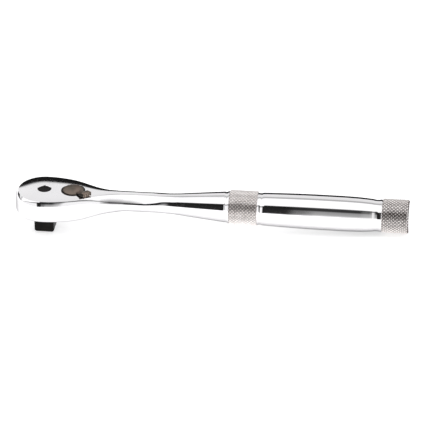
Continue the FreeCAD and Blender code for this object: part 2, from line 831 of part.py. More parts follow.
def make_lever_retaining_ring():
    """An open ring in the shaft's groove, under the roof of the chamber."""
    body = new_body("retaining_ring")
    sketch = new_sketch(body, "ring_outline")
    add_circle(sketch, "sizes.ring_radius")
    add_circle(sketch, "sizes.ring_groove_radius + 0.03")
    pad(body, sketch, "sizes.ring_thickness")
    mouth = new_sketch(body, "ring_mouth", offset=1)
    half = size("ring_mouth_width") / 2
    reach = size("ring_radius") + 1
    add_polygon(mouth, [(0, -half), (0, half), (-reach, half), (-reach, -half)])
    pocket(body, mouth, "2")
    return on_lever(body, "lever_retaining_ring", Placement(Vector(0, 0, size("ring_bottom")), Rotation()))


def make_detent_ball():
    ball = DOC.addObject("Part::Sphere", "detent")
    ball.setExpression("Radius", "sizes.detent_ball_radius")
    centre = size("detent_ball_reach") - size("detent_ball_radius")
    return on_lever(ball, "detent_ball", Placement(Vector(centre, 0, size("detent_height")), Rotation()))


def make_detent_spring():
    gap = 0.05
    floor = size("detent_spring_seat") + gap
    ball_back = size("detent_ball_reach") - 2 * size("detent_ball_radius")
    length = ball_back - gap - floor
    spring = make_spring("lever_spring", "detent_coil_radius", "detent_wire_radius", length, 5)
    place = Vector(floor + size("detent_wire_radius"), 0, size("detent_height"))
    return on_lever(spring, "detent_spring", Placement(place, Rotation(Vector(0, 1, 0), 90)))


# ---------------------------------------------------------------- pawl

def pawl_end_outline():
    """The toothed pad at the pawl's +Y end, where it is meshed with the gear."""
    root = size("gear_root_radius")
    tip = size("gear_tip_radius")
    side_gap = size("pawl_tooth_gap")
    root_half, tip_half = gap_half_widths()
    slope = (tip_half - root_half) / (tip - root)
    tooth_tip = root + side_gap
    tooth_base = tip + 1.5 * side_gap
    side = side_gap * math.hypot(1, slope)
    tip_half_angle = math.degrees((root_half + slope * side_gap - side) / tooth_tip)
    base_half_angle = math.degrees((root_half + slope * (tooth_base - root) - side) / tooth_base)
    points = [polar(tooth_base, PAWL_PAD_START)]
    for angle in PAWL_TOOTH_ANGLES:
        points += [
            polar(tooth_base, angle - base_half_angle),
            polar(tooth_tip, angle - tip_half_angle),
            polar(tooth_tip, angle + tip_half_angle),
            polar(tooth_base, angle + base_half_angle),
        ]
    points += [polar(tooth_base, PAWL_PAD_END), polar(size("pawl_outer_radius"), PAWL_PAD_END)]
    return points


def make_pawl():
    """The double-ended pawl, drawn midway and rocked so that its +Y end is meshed."""
    rock = size("pawl_rock")
    upper = [turned(point, -rock, pivot()) for point in pawl_end_outline()]
    inner = size("pawl_inner_radius")
    inner_end = polar(inner, 30)
    back = size("pawl_back_radius")
    touch = tangent_touch(upper[-1], pivot(), back)
    side = [inner_end] + upper + [touch]
    far_side = [(x, -y) for x, y in side]
    body = new_body("rocking_pawl")
    sketch = new_sketch(body, "pawl_outline", offset=size("pawl_bottom"))
    for start, end in zip(side, side[1:]):
        add_line(sketch, start, end)
    add_arc(sketch, side[-1], (pivot()[0] + back, 0), far_side[-1])
    for start, end in zip(far_side[::-1], far_side[-2::-1]):
        add_line(sketch, start, end)
    add_arc(sketch, far_side[0], (inner, 0), side[0])
    pad(body, sketch, "sizes.pawl_top - sizes.pawl_bottom")
    bore(body, "pawl_bore", "sizes.shaft_radius + sizes.running_clearance",
         "sizes.pawl_top + 0.5", "sizes.pawl_bottom - 0.5", pivot())
    window = new_sketch(body, "pawl_window", offset=size("pawl_top") + 0.5)
    reach = size("pawl_window_radius")
    sweep = size("pawl_window_half_angle")
    start = polar(reach, -sweep, pivot())
    end = polar(reach, sweep, pivot())
    add_arc(window, start, (pivot()[0] + reach, 0), end)
    add_line(window, end, pivot())
    add_line(window, pivot(), start)
    pocket(body, window, "sizes.pawl_top - sizes.pawl_bottom + 1")
    about_pivot = Vector(size("lever_place"), 0, 0)
    body.Placement = Placement(Vector(0, 0, 0), Rotation(Vector(0, 0, 1), rock), about_pivot)
    return keep(body, "pawl")


# ---------------------------------------------------------------- build, check and write

def check_document():
    failed = [item.Name for item in DOC.Objects if {"Invalid", "Error"} & set(item.State)]
    if failed:
        raise RuntimeError(f"failed objects: {failed}")
    for item in SUBPARTS:
        if item.Shape.isNull() or not item.Shape.isValid():
            raise RuntimeError(f"bad shape: {item.Label}")


def main():
    make_handle_body()
    make_cover_plate()
    for number, place in enumerate(screw_places(), start=1):
        make_cover_screw(number, place)
    make_thrust_washer()
    make_seal_ring()
    make_drive_gear()
    make_release_button()
    make_release_pin()
    make_retaining_ball()
    make_release_spring()
    make_reversing_lever()
    make_lever_o_ring()
    make_lever_retaining_ring()
    make_detent_ball()
    make_detent_spring()
    make_pawl()
    DOC.recompute()
    check_document()
    os.makedirs("parts", exist_ok=True)
    for item in SUBPARTS:
        item.Shape.exportStep(f"parts/{item.Label}.step")
        print(f"{item.Label}: {item.Shape.Volume:.2f} mm3, {len(item.Shape.Solids)} solid(s)")


main()
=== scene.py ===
import math

import bmesh
import bpy
from mathutils import Matrix, Vector


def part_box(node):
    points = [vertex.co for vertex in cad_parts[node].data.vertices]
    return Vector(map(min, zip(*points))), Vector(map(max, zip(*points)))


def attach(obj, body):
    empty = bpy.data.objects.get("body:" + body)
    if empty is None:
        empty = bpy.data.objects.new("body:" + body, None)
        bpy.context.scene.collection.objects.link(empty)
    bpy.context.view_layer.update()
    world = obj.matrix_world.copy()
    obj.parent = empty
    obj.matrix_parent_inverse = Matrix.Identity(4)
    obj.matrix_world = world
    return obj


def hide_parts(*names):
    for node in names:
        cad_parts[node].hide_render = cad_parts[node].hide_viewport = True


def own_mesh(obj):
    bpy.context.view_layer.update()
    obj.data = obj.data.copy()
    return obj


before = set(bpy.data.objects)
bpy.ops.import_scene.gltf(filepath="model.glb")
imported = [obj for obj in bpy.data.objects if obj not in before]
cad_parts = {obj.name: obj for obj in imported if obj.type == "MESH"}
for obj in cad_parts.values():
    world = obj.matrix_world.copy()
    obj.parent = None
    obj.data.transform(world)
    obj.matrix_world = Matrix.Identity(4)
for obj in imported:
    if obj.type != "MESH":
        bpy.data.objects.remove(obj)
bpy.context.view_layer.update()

MM = 0.001


# ---------------------------------------------------------------- places read from the frame

def span(node):
    """Lowest and highest corner of a CAD node, in millimetres."""
    low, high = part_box(node)
    return low / MM, high / MM


PLATE_LOW, PLATE_HIGH = span("cover_plate")
BUTTON_LOW, BUTTON_HIGH = span("release_button")
RING_LOW, RING_HIGH = span("lever_retaining_ring")
GEAR_BOTTOM = span("drive_gear")[0].z
LEVER_BOTTOM = span("reversing_lever")[0].z

# ---------------------------------------------------------------- sizes, in millimetres

HEAD_BOTTOM = PLATE_LOW.z
HEAD_TOP = 21.5
CHAMBER_FLOOR = 10.5
CHAMBER_CEILING = 17.4
GEAR_CHAMBER_RADIUS = 9.2
NOSE_CHAMBER_RADIUS = 4.25
HANDLE_AXIS = 17.1
HANDLE_END = 176.3
LEVER_X = (RING_LOW.x + RING_HIGH.x) / 2
LEVER_ANGLE = math.radians(-38)
DISC_EDGE = 22.0
DISC_TOP = 22.4
DISC_RADIUS = 5.05
SKIRT_RADIUS = 5.45
SHAFT_RADIUS = 2.6
STUB_RADIUS = 1.5
RECESS_RADIUS = 5.65
RECESS_FLOOR = 19.8
TAB_START = 2.6
TAB_END = 9.8
RIB_COUNT = 4
RIB_PITCH = 1.28
RIB_WIDTH = 0.74
BUTTON_RADIUS = 3.05
BUTTON_HOLE_RADIUS = 3.15
PIN_RADIUS = 1.14
SPRING_COIL_RADIUS = 2.35
SPRING_WIRE_RADIUS = 0.25
SPRING_TURNS = 6

# Start, end and radius of each knurled band.
BAND_ONE = (90.2, 103.6, 8.35)
BAND_TWO = (163.7, 176.3, 8.25)
KNURL_DEPTH = 0.5
DIAMONDS_AROUND = 30
DIAMOND_FLAT = 0.22
DIAMOND_SINK = 0.06
# Distances off the handle's axis between which the painted shade in the grooves gives way to bright crests.
GROOVE_LEVEL = 7.84
CREST_LEVEL = 8.06
END_ROUND = 1.0
END_DOME = 0.25


# ---------------------------------------------------------------- mesh helpers

def add_mesh(name, points, faces, sharp_degrees=30.0):
    """A smooth-shaded object from points in millimetres, with creases kept sharp."""
    mesh = bpy.data.meshes.new(name)
    mesh.from_pydata([Vector(p) * MM for p in points], [], faces)
    work = bmesh.new()
    work.from_mesh(mesh)
    bmesh.ops.remove_doubles(work, verts=work.verts, dist=1e-7)
    bmesh.ops.dissolve_degenerate(work, edges=work.edges, dist=1e-8)
    bmesh.ops.recalc_face_normals(work, faces=work.faces)
    work.to_mesh(mesh)
    work.free()
    piece = bpy.data.objects.new(name, mesh)
    bpy.context.scene.collection.objects.link(piece)
    crease(mesh, sharp_degrees)
    return piece


def crease(mesh, sharp_degrees):
    """Smooth shading, with edges sharper than that angle kept sharp."""
    mesh.shade_smooth()
    mesh.set_sharp_from_angle(angle=math.radians(sharp_degrees))


def grid_faces(rows, columns, closed):
    """Quads between neighbouring rows of points; closed joins the last column to the first."""
    last = columns if closed else columns - 1
    return [
        (
            row * columns + column,
            row * columns + (column + 1) % columns,
            (row + 1) * columns + (column + 1) % columns,
            (row + 1) * columns + column,
        )
        for row in range(rows - 1)
        for column in range(last)
    ]


def lathe(name, profile, segments=96, centre=(0.0, 0.0), sharp_degrees=30.0):
    """A solid turned about a vertical axis from (radius, height) points."""
    points = []
    for turn in range(segments):
        angle = 2 * math.pi * turn / segments
        for radius, height in profile:
            x = centre[0] + radius * math.cos(angle)
            points.append((x, centre[1] + radius * math.sin(angle), height))
    count = len(profile)
    faces = [
        (
            turn * count + step,
            turn * count + step + 1,
            (turn + 1) % segments * count + step + 1,
            (turn + 1) % segments * count + step,
        )
        for turn in range(segments)
        for step in range(count - 1)
    ]
    return add_mesh(name, points, faces, sharp_degrees)


def prism(name, outline, low, high, sharp_degrees=30.0):
    """A plan outline raised between two heights."""
    count = len(outline)
    points = [(x, y, low) for x, y in outline] + [(x, y, high) for x, y in outline]
    sides = [(i, (i + 1) % count, (i + 1) % count + count, i + count) for i in range(count)]
    caps = [tuple(range(count))[::-1], tuple(range(count, 2 * count))]
    return add_mesh(name, points, sides + caps, sharp_degrees)


def combine(target, others, operation, sharp_degrees=30.0):
    """Join or cut with other closed pieces, which are then removed."""
    for other in others:
        step = target.modifiers.new("combine", "BOOLEAN")
        step.operation = operation
        step.solver = "EXACT"
        step.object = other
    bpy.context.view_layer.update()
    shape = target.evaluated_get(bpy.context.evaluated_depsgraph_get())
    result = bpy.data.meshes.new_from_object(shape)
    target.modifiers.clear()
    target.data = result
    for other in others:
        bpy.data.objects.remove(other)
    crease(result, sharp_degrees)
    return target


def arc(centre, radius, start, end, steps):
    """Points on an arc, in degrees, both ends included."""
    turns = [math.radians(start + (end - start) * step / steps) for step in range(steps + 1)]
    return [(centre[0] + radius * math.cos(t), centre[1] + radius * math.sin(t)) for t in turns]


def curve_through(points):
    """A smooth function through (place, values...) rows that never overshoots them."""
    places = [row[0] for row in points]
    columns = list(zip(*[row[1:] for row in points]))
    slopes = []
    for column in columns:
        secants = [
            (column[i + 1] - column[i]) / (places[i + 1] - places[i])
            for i in range(len(places) - 1)
        ]
        inner = [
            2 * a * b / (a + b) if a * b > 0 else 0.0 for a, b in zip(secants, secants[1:])
        ]
        slopes.append([secants[0]] + inner + [secants[-1]])

    def at(place):
        place = min(max(place, places[0]), places[-1])
        i = max(j for j in range(len(places) - 1) if places[j] <= place or j == 0)
        width = places[i + 1] - places[i]
        t = (place - places[i]) / width
        values = []
        for column, slope in zip(columns, slopes):
            start = (2 * t**3 - 3 * t**2 + 1) * column[i] + (t**3 - 2 * t**2 + t) * width * slope[i]
            end = (3 * t**2 - 2 * t**3) * column[i + 1] + (t**3 - t**2) * width * slope[i + 1]
            values.append(start + end)
        return values

    return at


# ---------------------------------------------------------------- the forging

# Place along the handle, half width, underside, top, rise of the crowned top face, tilt and
# length of the facet beside it, radius of the shoulder below, radius of the bottom edge.
FORGING = curve_through([
    (0.0, 14.0, 10.1, 21.5, 0.3, 50.0, 0.4, 4.6, 1.9),
    (3.0, 13.9, 10.1, 21.5, 0.3, 50.0, 0.4, 4.6, 1.9),
    (6.0, 13.6, 10.1, 21.5, 0.3, 50.0, 0.4, 4.6, 1.9),
    (9.0, 13.05, 10.1, 21.5, 0.285, 50.0, 0.4, 4.6, 1.9),
    (12.0, 12.3, 10.1, 21.5, 0.27, 50.0, 0.4, 4.6, 1.9),
    (15.0, 11.3, 10.1, 21.5, 0.24, 50.0, 0.5, 4.6, 1.9),
    (18.0, 10.0, 10.1, 21.5, 0.225, 50.0, 0.7, 4.4, 2.0),
    (21.0, 8.65, 10.3, 21.5, 0.225, 49.0, 1.1, 4.1, 2.2),
    (24.0, 7.45, 10.6, 21.52, 0.24, 48.0, 1.7, 3.6, 2.6),
    (28.0, 6.3, 11.2, 21.6, 0.27, 47.0, 2.7, 2.8, 3.2),
    (33.0, 5.6, 11.9, 21.75, 0.3, 47.0, 3.6, 2.1, 3.7),
    (40.0, 5.25, 12.85, 21.9, 0.33, 47.0, 3.9, 1.7, 3.9),
    (48.0, 5.2, 12.95, 21.95, 0.33, 46.0, 3.9, 1.7, 3.9),
    (54.0, 5.2, 12.9, 22.0, 0.36, 42.0, 3.0, 2.4, 4.0),
    (60.0, 5.22, 12.3, 22.1, 0.45, 30.0, 1.6, 3.8, 4.4),
    (66.0, 5.36, 11.74, 22.46, 0.45, 20.0, 1.0, 4.6, 4.9),
])
# Where the neck's section turns from faceted to round.
ROUND_BLEND = (52.0, 66.0)
ROUND_START = 66.0
ROUND_RADIUS = 5.36
# The top face falls away from its middle with this power of the distance.
CROWN_POWER = 4.0
CREASE_WIDTH = 0.12
FACET_BULGE = math.sin(math.radians(2.0))
# Points along each stretch of a section.
QUARTER_FLAT = 11
QUARTER_FACET = 3
QUARTER_ARC = 9
QUARTER_SIDE = 5
HALF_COUNT = 2 * (QUARTER_FLAT + QUARTER_ARC + QUARTER_SIDE) + QUARTER_FACET


def top_half(half_width, middle, high, crown, tilt, facet, radius):
    """Quarter of a head section, from the top centre round to the side."""
    slope = math.radians(tilt)
    rise = facet * math.sin(slope) + radius * math.cos(slope)
    centre = (half_width - radius, high - crown - rise)
    shoulder = arc(centre, radius, 90 - tilt, 0, QUARTER_ARC)
    crest_y = shoulder[0][0] - facet * math.cos(slope)
    points = []
    for step in range(QUARTER_FLAT):
        y = (crest_y - CREASE_WIDTH) * step / (QUARTER_FLAT - 1)
        points.append((y, high - crown * (y / crest_y) ** CROWN_POWER))
    for step in range(QUARTER_FACET):
        share = step / QUARTER_FACET
        bulge = FACET_BULGE * facet * share * (1 - share)
        y = crest_y + (shoulder[0][0] - crest_y) * share + bulge * math.sin(slope)
        z = high - crown + (shoulder[0][1] - high + crown) * share + bulge * math.cos(slope)
        points.append((y, z))
    points += shoulder
    for step in range(1, QUARTER_SIDE):
        points.append((half_width, centre[1] + (middle - centre[1]) * step / QUARTER_SIDE))
    return points


def bottom_half(half_width, middle, low, edge):
    """Quarter of a head section, from the side round to the bottom centre."""
    points = []
    for step in range(QUARTER_SIDE):
        points.append((half_width, middle + (low + edge - middle) * step / QUARTER_SIDE))
    points += arc((half_width - edge, low + edge), edge, 0, -90, QUARTER_ARC)
    for step in range(1, QUARTER_FLAT):
        points.append(((half_width - edge) * (1 - step / QUARTER_FLAT), low))
    return points


def oval_half(half_width, low, high):
    """The right half of an oval section, with as many points as a head section's half."""
    middle = (low + high) / 2
    return [
        (
            half_width * math.sin(math.pi * step / HALF_COUNT),
            middle + (high - low) / 2 * math.cos(math.pi * step / HALF_COUNT),
        )
        for step in range(HALF_COUNT)
    ]


def section_half(place):
    """Points of the +Y half of a section, from the top centre to just before the bottom centre."""
    half_width, low, high, crown, tilt, facet, shoulder, low_edge = FORGING(place)
    middle = (low + high) / 2
    oval = oval_half(half_width, low, high)
    share = (place - ROUND_BLEND[0]) / (ROUND_BLEND[1] - ROUND_BLEND[0])
    share = min(max(share, 0.0), 1.0)
    share = share * share * (3 - 2 * share)
    if share == 1.0:
        return oval
    box = top_half(half_width, middle, high, crown, tilt, facet, shoulder)
    box += bottom_half(half_width, middle, low, low_edge)
    return [
        ((1 - share) * a[0] + share * b[0], (1 - share) * a[1] + share * b[1])
        for a, b in zip(box, oval)
    ]


def whole_ring(place, half, low):
    """A closed section: down the +Y side, through the bottom centre and up the -Y side."""
    right = [(place, y, z) for y, z in half]
    left = [(place, -y, z) for y, z in half[1:]]
    return right + [(place, 0.0, low)] + left[::-1]


def round_ring(place, radius):
    """A closed circle about the handle's axis."""
    half = oval_half(radius, HANDLE_AXIS - radius, HANDLE_AXIS + radius)
    return whole_ring(place, half, HANDLE_AXIS - radius)


def handle_profile():
    """(place, radius) along the turned handle, with its coves and plain band edges."""
    one_start, one_end, one = BAND_ONE
    two_start, two_end, two = BAND_TWO
    core_one = one - KNURL_DEPTH
    core_two = two - KNURL_DEPTH
    cone = curve_through([
        (ROUND_START, ROUND_RADIUS), (70.0, 5.8), (76.0, 6.38), (82.0, 6.98), (87.8, 7.55),
    ])
    barrel = curve_through([
        (106.2, 8.0), (112.0, 8.2), (122.0, 8.46), (133.0, 8.58), (143.0, 8.58), (152.0, 8.4),
        (158.6, 7.95),
    ])
    points = [(place, cone(place)[0]) for place in stepped(66.8, 87.8, 28)]
    points += [(88.0, 7.42), (88.25, 7.38), (88.6, 7.5), (89.1, 7.72), (89.6, 7.86), (90.0, 7.92)]
    points += plain_band(one_start, one_end, core_one)
    points += [(103.8, 7.95), (104.2, 7.76), (104.8, 7.66), (105.4, 7.74), (105.8, 7.88)]
    points += [(place, barrel(place)[0]) for place in stepped(106.2, 158.6, 44)]
    points += [(159.2, 7.86), (160.0, 7.7), (160.9, 7.62), (161.7, 7.66), (162.5, 7.78)]
    points += [(163.2, 7.88)]
    points += plain_band(two_start, two_end - END_ROUND, core_two)
    points += arc((two_end - END_ROUND, core_two - END_ROUND), END_ROUND, 72, 0, 7)
    return points


def stepped(start, end, steps):
    """Evenly spaced numbers, both ends included."""
    return [start + (end - start) * step / steps for step in range(steps + 1)]


def plain_band(start, end, radius):
    """The core under a knurl, flush with the bottoms of its grooves."""
    return [(start, radius - 0.12), (start + 0.14, radius)] + [
        (place, radius) for place in stepped(start + 0.3, end - 0.3, 8)
    ] + [(end, radius)]


def forging_rows():
    """Closed sections from the drive axis to the rear of the second band."""
    head = stepped(0.0, 38.0, 76)
    neck = stepped(38.6, 65.4, 38)
    rows = []
    for place in head + neck:
        half = section_half(place)
        rows.append(whole_ring(place, half, FORGING(place)[1]))
    for place, radius in [(ROUND_START, ROUND_RADIUS)] + handle_profile():
        rows.append(round_ring(place, radius))
    return rows


def end_cap_rows(last_radius):
    """Rings that close the handle's end in a very shallow dome."""
    rows = []
    for share in (0.85, 0.65, 0.4, 0.15, 0.0):
        rows.append(round_ring(HANDLE_END - END_DOME * share**2, last_radius * share))
    return rows


def make_forging():
    """Head, neck and handle in one closed surface, before its openings are cut."""
    rows = forging_rows()
    rows += end_cap_rows(BAND_TWO[2] - KNURL_DEPTH - END_ROUND)
    columns = len(rows[0])
    points = [point for row in rows for point in row]
    faces = grid_faces(len(rows), columns, closed=True)
    half = section_half(0.0) + [(0.0, HEAD_BOTTOM)]
    start = len(points)
    turns = 72
    for turn in range(turns + 1):
        angle = math.pi * turn / turns
        points += [(-y * math.sin(angle), y * math.cos(angle), z) for y, z in half]
    faces += [
        tuple(start + index for index in face)
        for face in grid_faces(turns + 1, len(half), closed=False)
    ]
    return add_mesh("forging", points, faces)


def teardrop(gap):
    """Outline of the plate recess: the head's circle and the nose circle with their tangents."""
    big = -PLATE_LOW.x + gap
    small = PLATE_HIGH.x - LEVER_X + gap
    lean = math.degrees(math.acos((big - small) / LEVER_X))
    outline = arc((0, 0), big, lean, 360 - lean, 72)
    return outline + arc((LEVER_X, 0), small, -lean, lean, 24)


def cut_forging(body):
    """Openings for the button, the lever, the plate and the works."""
    above = 30
    lever_centre = (LEVER_X, 0.0)
    rim = HEAD_TOP - 0.3
    hole = BUTTON_HOLE_RADIUS
    button_hole = lathe(
        "cut_button",
        [(0, 16), (hole, 16), (hole, rim), (hole + 0.25, HEAD_TOP), (hole + 0.25, above), (0, above)],
    )
    recess = lathe(
        "cut_recess",
        [
            (0, RECESS_FLOOR), (RECESS_RADIUS - 0.4, RECESS_FLOOR),
            (RECESS_RADIUS - 0.15, RECESS_FLOOR + 0.07), (RECESS_RADIUS, RECESS_FLOOR + 0.35),
            (RECESS_RADIUS, rim), (RECESS_RADIUS + 0.2, HEAD_TOP), (RECESS_RADIUS + 0.2, above), (0, above),
        ],
        centre=lever_centre,
    )
    shaft = drum("cut_shaft", SHAFT_RADIUS + 0.08, 15, RECESS_FLOOR + 0.4, lever_centre)
    plate = prism("cut_plate", teardrop(0.08), HEAD_BOTTOM - 2, PLATE_HIGH.z)
    chamber = drum("cut_chamber", GEAR_CHAMBER_RADIUS, CHAMBER_FLOOR, CHAMBER_CEILING)
    nose = drum("cut_nose", NOSE_CHAMBER_RADIUS, CHAMBER_FLOOR, CHAMBER_CEILING, lever_centre)
    return combine(body, [button_hole, recess, shaft, plate, chamber, nose], "DIFFERENCE")


def drum(name, radius, low, high, centre=(0.0, 0.0)):
    """A plain upright cylinder."""
    return lathe(name, [(0, low), (radius, low), (radius, high), (0, high)], centre=centre)


# ---------------------------------------------------------------- knurling

def make_knurl(name, band, round_end):
    """Staggered diamonds, each a low pyramid with a small flat, standing on the band's core."""
    start, end, radius = band
    pitch = 2 * math.pi * radius / DIAMONDS_AROUND
    rows = round((end - start) / pitch)
    half_x = (end - start) / rows / 2
    half_turn = math.pi / DIAMONDS_AROUND
    points = []
    faces = []
    for row in range(2 * rows + 1):
        x = start + row * half_x
        shift = row % 2 * half_turn
        for column in range(DIAMONDS_AROUND):
            centre = (x, 2 * half_turn * column + shift)
            add_diamond(points, faces, centre, (half_x, half_turn), band, round_end)
    return add_mesh(name, points, faces, sharp_degrees=8.0)


def add_diamond(points, faces, centre, reach, band, round_end):
    """One closed diamond, kept within its band's ends; its top follows a rounded rear end."""
    start, end, top = band
    core = top - KNURL_DEPTH
    first = len(points)
    corners = ((1, 0), (0, 1), (-1, 0), (0, -1))
    levels = ((1.0, core - DIAMOND_SINK), (0.97, core), (DIAMOND_FLAT, top))
    for share, height in levels:
        for along, around in corners:
            x = min(max(centre[0] + along * reach[0] * share, start), end)
            radius = height
            if round_end:
                radius = min(height, top - round_end + end_round(end - x, round_end))
            turn = centre[1] + around * reach[1] * share
            points.append((x, radius * math.sin(turn), HANDLE_AXIS + radius * math.cos(turn)))
    for level in (first, first + 4):
        for i in range(4):
            j = (i + 1) % 4
            faces.append((level + i, level + j, level + 4 + j, level + 4 + i))
    faces.append((first + 3, first + 2, first + 1, first))
    faces.append((first + 8, first + 9, first + 10, first + 11))


def end_round(distance, radius):
    """Height of a quarter round of that radius at a distance from its end."""
    inside = min(max(distance, 0.0), radius)
    return math.sqrt(radius**2 - (radius - inside) ** 2)


# ---------------------------------------------------------------- reversing lever

def lever_turn(piece):
    """Turn a lever mesh, drawn along +X about the origin, to its place."""
    place = Matrix.Translation(Vector((LEVER_X, 0, 0)) * MM) @ Matrix.Rotation(LEVER_ANGLE, 4, "Z")
    piece.data.transform(place)
    return piece


def make_lever():
    """Disc, shaft and thumb tab in one piece, with ribs on the tab's thumb face."""
    disc = lathe(
        "lever",
        [
            (0, LEVER_BOTTOM), (STUB_RADIUS, LEVER_BOTTOM), (STUB_RADIUS, 11.65),
            (SHAFT_RADIUS, 11.65), (SHAFT_RADIUS, 19.9), (4.6, 19.9), (5.2, 20.0),
            (SKIRT_RADIUS, 20.3), (SKIRT_RADIUS, 21.05), (5.38, 21.2), (5.15, 21.3),
            (DISC_RADIUS, 21.42), (DISC_RADIUS, DISC_EDGE - 0.15), (5.0, DISC_EDGE - 0.03),
            (4.85, DISC_EDGE + 0.04), (4.3, DISC_EDGE + 0.13), (3.3, DISC_TOP - 0.14),
            (2.2, DISC_TOP - 0.06), (1.1, DISC_TOP - 0.01), (0, DISC_TOP),
        ],
    )
    tab = make_tab()
    ribs = [make_rib(index) for index in range(RIB_COUNT)]
    combine(tab, ribs, "UNION")
    combine(disc, [tab], "UNION", sharp_degrees=32.0)
    return lever_turn(disc)


def make_tab():
    """The thumb tab: a waisted tongue that leaves the disc and turns up at its end."""
    lift = HEAD_TOP + 0.15
    top_line = curve_through([
        (TAB_START, DISC_TOP - 0.4), (4.6, 22.45), (6.0, 22.75), (7.2, 23.5), (8.2, 23.88), (TAB_END, 23.9),
    ])
    low_line = curve_through([
        (TAB_START, 21.0), (4.6, 21.1), (5.2, lift), (8.4, lift + 0.05), (TAB_END, lift + 0.3),
    ])
    width_line = curve_through([
        (TAB_START, 2.1), (5.0, 2.1), (6.4, 2.25), (7.6, 2.5), (TAB_END, 2.5),
    ])
    points = []
    stations = stepped(TAB_START, TAB_END, 22) + [TAB_END + 0.2, TAB_END + 0.32]
    count = 28
    for place in stations:
        inside = min(place, TAB_END)
        top = top_line(inside)[0]
        low = low_line(inside)[0]
        half = width_line(inside)[0]
        past = (place - inside) / 0.35
        squeeze = math.sqrt(max(1 - past**2, 0.25))
        middle = (top + low) / 2
        for turn in range(count):
            angle = 2 * math.pi * turn / count
            y = half * squeeze * rounded_square(math.cos(angle), 0.35)
            z = middle + (top - low) / 2 * squeeze * rounded_square(math.sin(angle), 0.45)
            points.append((place, y, z))
    faces = grid_faces(len(stations), count, closed=True)
    faces.append(tuple(range(count)))
    last = (len(stations) - 1) * count
    faces.append(tuple(range(last, last + count))[::-1])
    return add_mesh("lever_tab", points, faces, 40.0)


def rounded_square(share, power):
    """Push a circle's coordinate outwards, towards a square's."""
    return math.copysign(abs(share) ** power, share)


def make_rib(index):
    """One upright rib on the outer face of the tab."""
    y = (index - (RIB_COUNT - 1) / 2) * RIB_PITCH
    root = RIB_WIDTH / 2
    tip = RIB_WIDTH / 3
    start = TAB_END - 0.2
    end = TAB_END + 0.6
    outline = [(start, y - root), (end, y - tip), (end, y + tip), (start, y + root)]
    return prism(f"rib_{index}", outline, HEAD_TOP + 0.45, 23.7)


# ---------------------------------------------------------------- release button

def make_button():
    """The button with its flange, a shallow domed top and a rounded rim."""
    flange = BUTTON_HIGH.x
    low = BUTTON_LOW.z
    return lathe(
        "button",
        [
            (0, low + 2.5), (PIN_RADIUS, low + 2.5), (PIN_RADIUS, low), (flange, low), (flange, 18.6),
            (BUTTON_RADIUS, 18.6), (BUTTON_RADIUS, 21.3), (3.0, 21.45), (2.88, 21.55), (2.65, 21.61),
            (2.0, 21.69), (1.2, 21.74), (0, 21.76),
        ],
    )


def make_spring(low, high):
    """The button's return spring: a round wire wound on a helix between two heights."""
    wire = SPRING_WIRE_RADIUS
    steps = 28
    around = 10
    rings = SPRING_TURNS * steps + 1
    rise = high - low - 2 * wire
    points = []
    for ring in range(rings):
        turn = 2 * math.pi * ring / steps
        height = low + wire + rise * ring / (rings - 1)
        for side in range(around):
            angle = 2 * math.pi * side / around
            reach = SPRING_COIL_RADIUS + wire * math.cos(angle)
            z = height + wire * math.sin(angle)
            points.append((reach * math.cos(turn), reach * math.sin(turn), z))
    faces = grid_faces(rings, around, closed=True)
    faces.append(tuple(range(around)))
    faces.append(tuple(range((rings - 1) * around, rings * around))[::-1])
    return add_mesh("spring", points, faces, 40.0)


# ---------------------------------------------------------------- materials

def new_material(name):
    """A new material, its node tree and its main shader."""
    material = bpy.data.materials.new(name)
    material.use_nodes = True
    tree = material.node_tree
    shader = tree.nodes["Principled BSDF"]
    return material, tree, shader


def object_noise(tree, scale, detail=3.0, stretch=(1.0, 1.0, 1.0), roughness=0.55):
    """Noise in the object's own space; scale is in features per metre."""
    coordinates = tree.nodes.new("ShaderNodeTexCoord")
    mapping = tree.nodes.new("ShaderNodeMapping")
    mapping.inputs["Scale"].default_value = stretch
    noise = tree.nodes.new("ShaderNodeTexNoise")
    noise.inputs["Scale"].default_value = scale
    noise.inputs["Detail"].default_value = detail
    noise.inputs["Roughness"].default_value = roughness
    tree.links.new(coordinates.outputs["Object"], mapping.inputs["Vector"])
    tree.links.new(mapping.outputs["Vector"], noise.inputs["Vector"])
    return noise.outputs["Fac"]


def object_part(tree, output, axis):
    """One component of the object's own position ("Object") or facing ("Normal")."""
    coordinates = tree.nodes.new("ShaderNodeTexCoord")
    parts = tree.nodes.new("ShaderNodeSeparateXYZ")
    tree.links.new(coordinates.outputs[output], parts.inputs[0])
    return parts.outputs[axis]


def vector_maths(tree, operation, source, vector=(0.0, 0.0, 0.0)):
    """Vector arithmetic on a signal and a plain vector."""
    node = tree.nodes.new("ShaderNodeVectorMath")
    node.operation = operation
    node.inputs[1].default_value = vector
    tree.links.new(source, node.inputs[0])
    return node


def maths(tree, operation, first, second):
    """Arithmetic on two signals or numbers."""
    node = tree.nodes.new("ShaderNodeMath")
    node.operation = operation
    for socket, value in zip(node.inputs, (first, second)):
        if isinstance(value, float):
            socket.default_value = value
        else:
            tree.links.new(value, socket)
    return node.outputs[0]


def blend(tree, share, first, second):
    """Mix two colours, each a signal or a plain colour, by a share from 0 to 1."""
    mix = tree.nodes.new("ShaderNodeMix")
    mix.data_type = "RGBA"
    tree.links.new(share, mix.inputs["Factor"])
    for socket, value in ((mix.inputs["A"], first), (mix.inputs["B"], second)):
        if isinstance(value, tuple):
            socket.default_value = (*value, 1)
        else:
            tree.links.new(value, socket)
    return mix.outputs["Result"]


